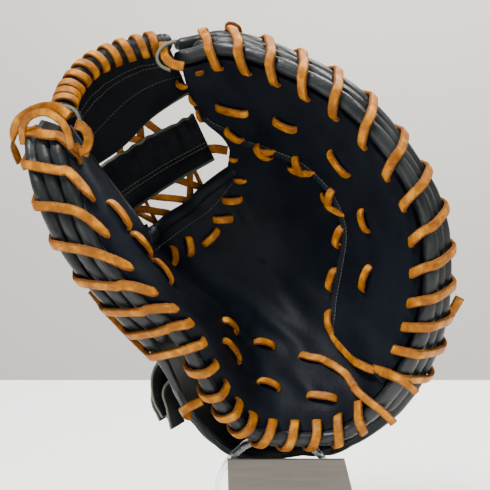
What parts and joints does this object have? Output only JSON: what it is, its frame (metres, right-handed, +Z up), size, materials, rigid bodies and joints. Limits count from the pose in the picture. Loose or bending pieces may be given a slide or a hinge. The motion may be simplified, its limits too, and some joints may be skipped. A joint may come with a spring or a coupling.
{
  "type": "first baseman mitt on display stand",
  "caption": "Dark leather first baseman mitt for the left hand, with rolled laced rims, a banded web and tan laces, resting on a clear display stand.",
  "frame": {"origin": "on the stand's underside, below the middle of the mitt's front view", "axes": "+Z up, the mitt's pocket faces -Y, its thumb is on the -X side"},
  "size_m": [0.2931, 0.1752, 0.3761],
  "materials": {
    "palm_leather": "matte black-blue grained leather",
    "shell_leather": "smooth dark leather with a slight sheen",
    "roll_leather": "stretched dark leather with a satin sheen",
    "web_leather": "matte sueded dark leather",
    "lace": "tan rawhide lace, smooth face, fuzzy cut edges",
    "stand_plate": "satin grey-brown panel",
    "clear_acrylic": "clear polished acrylic"
  },
  "bodies": {
    "root": {"pocket_shell": "palm_leather", "finger_panel": "palm_leather", "back_shell_fingers": "shell_leather", "back_shell_thumb": "shell_leather", "stall_wall": "shell_leather", "rim_roll_front": "roll_leather", "rim_roll_middle_fingers": "roll_leather", "rim_roll_middle_thumb": "roll_leather", "rim_roll_back": "roll_leather", "rim_lace_fingers": "lace", "rim_lace_thumb": "lace", "finger_lace": "lace", "border_lace": "lace", "palm_lace": "lace", "heel_lace": "lace", "break_lace_finger": "lace", "break_lace_heel": "lace", "thumb_edge_lace": "lace", "web_top_band": "web_leather", "web_middle_band": "web_leather", "web_top_roll": "web_leather", "web_top_lace": "lace", "web_lace_upper": "lace", "web_lace_lower": "lace", "thumb_tip_loop": "lace", "thumb_tip_knot": "lace", "finger_tip_tie": "lace", "top_knot": "lace", "heel_knot": "lace", "thumb_lace_tail": "lace", "web_side_tie": "lace", "side_lace_end": "lace", "wrist_strap": "shell_leather", "wrist_tab": "shell_leather", "stand_base": "clear_acrylic", "stand_loop": "clear_acrylic", "stand_plate": "stand_plate"}
  },
  "joints": []
}
